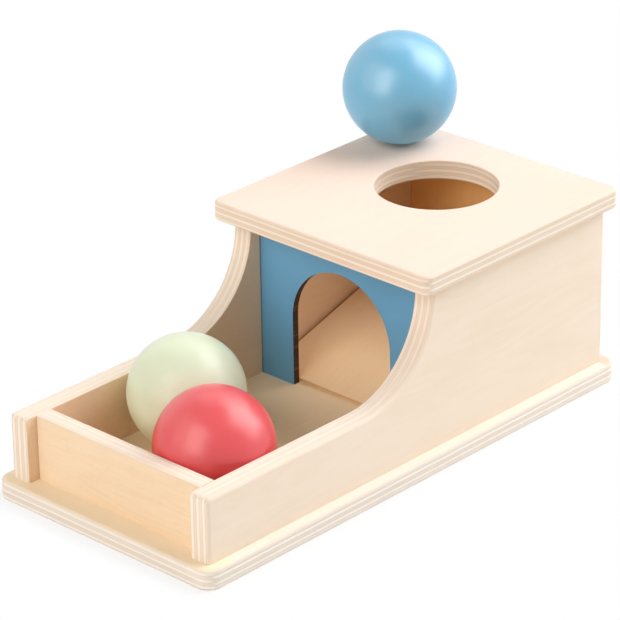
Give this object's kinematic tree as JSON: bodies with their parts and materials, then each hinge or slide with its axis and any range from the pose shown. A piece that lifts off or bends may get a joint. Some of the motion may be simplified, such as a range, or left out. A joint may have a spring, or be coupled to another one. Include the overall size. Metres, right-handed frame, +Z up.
{
  "type": "object permanence box",
  "caption": "Plywood toddler box with an open tray, a round hole in its lid, a ramp behind an arched doorway, and loose painted wooden balls.",
  "frame": {"origin": "middle of the base board's underside", "axes": "+Z up, +Y from the tray end to the box end, +X to the right seen from the tray end"},
  "size_m": [0.1203, 0.2345, 0.1292],
  "materials": {
    "birch_plywood": "clear satin on pale plywood",
    "ramp_veneer": "bare sanded thin plywood",
    "solid_birch": "bare sanded",
    "blue_painted_board": "satin blue paint on the front face, bare back, dark brown edge in the arch",
    "zinc_screw": "bright zinc plate",
    "red_paint": "satin paint on wood",
    "green_paint": "satin paint on wood",
    "blue_paint": "satin paint on wood"
  },
  "bodies": {
    "box": {"base_board": "birch_plywood", "left_side_panel": "birch_plywood", "right_side_panel": "birch_plywood", "tray_front_wall": "birch_plywood", "back_panel": "birch_plywood", "door_panel": "blue_painted_board", "ramp_board": "ramp_veneer", "ramp_batten": "solid_birch", "lid_board": "birch_plywood", "base_screws": "zinc_screw", "lid_dowels": "solid_birch", "corner_dowels": "solid_birch"},
    "red_ball": {"red_ball": "red_paint"},
    "green_ball": {"green_ball": "green_paint"},
    "blue_ball": {"blue_ball": "blue_paint"}
  },
  "joints": [
    {"name": "red_ball_lift", "type": "slide", "parent": "box", "child": "red_ball", "axis": [0, 0, 1], "range_m": [0, 0.13]},
    {"name": "green_ball_lift", "type": "slide", "parent": "box", "child": "green_ball", "axis": [0, 0, 1], "range_m": [0, 0.13]},
    {"name": "blue_ball_lift", "type": "slide", "parent": "box", "child": "blue_ball", "axis": [0, 0, 1], "range_m": [0, 0.06]}
  ]
}
